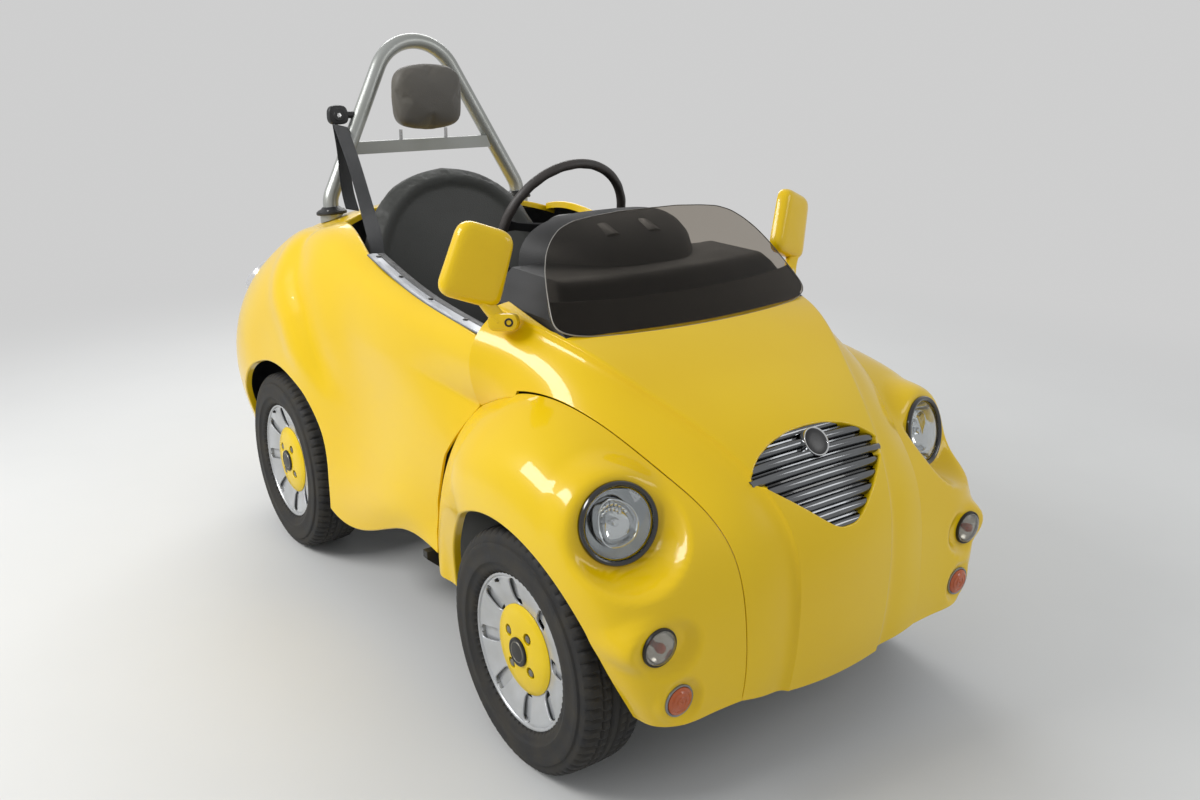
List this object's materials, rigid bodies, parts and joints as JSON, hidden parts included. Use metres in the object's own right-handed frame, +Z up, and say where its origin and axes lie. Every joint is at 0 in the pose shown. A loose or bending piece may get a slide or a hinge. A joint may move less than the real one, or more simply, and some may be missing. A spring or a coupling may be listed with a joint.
{
  "type": "open single-seat micro car",
  "caption": "Small open electric car with one seat, a roll bar behind it, round lamps, exposed steel wheels and front steering.",
  "frame": {"origin": "on the ground under the middle of the car's bounding box", "axes": "+X to the car's left side, +Y to the rear, +Z up; the front faces -Y"},
  "size_m": [1.0964, 2.1435, 1.4162],
  "materials": {
    "body_paint": "glossy yellow paint",
    "frame_paint": "satin black paint",
    "axle_steel": "plain steel",
    "rim_paint": "silver paint",
    "tyre": "moulded rubber",
    "tub_plastic": "grained dark grey",
    "trim_metal": "satin strip",
    "seat_cloth": "dark grey cloth",
    "headrest_cloth": "warm grey cloth",
    "bar_paint": "silver grey paint",
    "bright_steel": "bright plated",
    "webbing": "woven webbing",
    "black_plastic": "smooth black",
    "wheel_grip": "moulded grip",
    "screen_glass": "smoked clear sheet",
    "mirror_shell": "yellow shell",
    "grille_chrome": "bright slats",
    "lamp_bowl": "bright bowl in a black ring",
    "lamp_glass": "clear fluted glass",
    "signal_glass": "clear lens",
    "marker_amber": "amber lens",
    "tail_red": "red lens"
  },
  "bodies": {
    "car_body": {"front_cowl": "body_paint", "front_fender_left": "body_paint", "front_fender_right": "body_paint", "side_panel_left": "body_paint", "side_panel_right": "body_paint", "rear_deck": "body_paint", "chassis_frame": "frame_paint", "front_axle": "frame_paint", "rear_axle": "axle_steel", "drive_motor": "axle_steel", "battery_pack": "black_plastic", "plate_bracket": "frame_paint", "cockpit_tub": "tub_plastic", "sill_trims": "trim_metal", "seat_cushion": "seat_cloth", "seat_back": "seat_cloth", "roll_bar": "bar_paint", "headrest": "headrest_cloth", "headrest_posts": "bright_steel", "belt_hardware": "black_plastic", "seat_belt": "webbing", "dashboard": "tub_plastic", "instrument_hood": "tub_plastic", "steering_column": "black_plastic", "pedals": "black_plastic", "windscreen": "screen_glass", "mirror_left": "mirror_shell", "mirror_right": "mirror_shell", "grille": "grille_chrome", "headlight_units": "lamp_bowl", "headlight_lenses": "lamp_glass", "turn_signals": "signal_glass", "front_markers": "marker_amber", "tail_lamps": "tail_red"},
    "left_knuckle": {"knuckle_left": "axle_steel"},
    "right_knuckle": {"knuckle_right": "axle_steel"},
    "steering_link": {"tie_rod": "axle_steel"},
    "steering_hand_wheel": {"steering_wheel": "wheel_grip"},
    "front_left_wheel": {"tyre_front_left": "tyre", "rim_front_left": "rim_paint"},
    "front_right_wheel": {"tyre_front_right": "tyre", "rim_front_right": "rim_paint"},
    "rear_left_wheel": {"tyre_rear_left": "tyre", "rim_rear_left": "rim_paint"},
    "rear_right_wheel": {"tyre_rear_right": "tyre", "rim_rear_right": "rim_paint"}
  },
  "joints": [
    {"name": "steer_left", "type": "hinge", "parent": "car_body", "child": "left_knuckle", "pos_m": [0.372, -0.67, 0.254], "axis": [0, 0, 1], "range_deg": [-30, 30]},
    {"name": "steer_right", "type": "hinge", "parent": "car_body", "child": "right_knuckle", "pos_m": [-0.372, -0.67, 0.254], "axis": [0, 0, 1], "range_deg": [-30, 30]},
    {"name": "tie_rod_pivot", "type": "hinge", "parent": "left_knuckle", "child": "steering_link", "pos_m": [0.372, -0.575, 0.174], "axis": [0, 0, 1], "range_deg": [-30, 30]},
    {"name": "hand_wheel_turn", "type": "hinge", "parent": "car_body", "child": "steering_hand_wheel", "pos_m": [0, -0.088, 0.97], "axis": [0, 0.9272, 0.3746], "range_deg": [-420, 420]},
    {"name": "front_left_spin", "type": "hinge", "parent": "left_knuckle", "child": "front_left_wheel", "pos_m": [0.443, -0.67, 0.254], "axis": [1, 0, 0], "continuous": true},
    {"name": "front_right_spin", "type": "hinge", "parent": "right_knuckle", "child": "front_right_wheel", "pos_m": [-0.443, -0.67, 0.254], "axis": [1, 0, 0], "continuous": true},
    {"name": "rear_left_spin", "type": "hinge", "parent": "car_body", "child": "rear_left_wheel", "pos_m": [0.443, 0.58, 0.254], "axis": [1, 0, 0], "continuous": true},
    {"name": "rear_right_spin", "type": "hinge", "parent": "car_body", "child": "rear_right_wheel", "pos_m": [-0.443, 0.58, 0.254], "axis": [1, 0, 0], "continuous": true}
  ],
  "couplings": [
    {"joint": "steer_right", "follows": "steer_left", "ratio": 1},
    {"joint": "tie_rod_pivot", "follows": "steer_left", "ratio": -1},
    {"joint": "hand_wheel_turn", "follows": "steer_left", "ratio": 14}
  ]
}
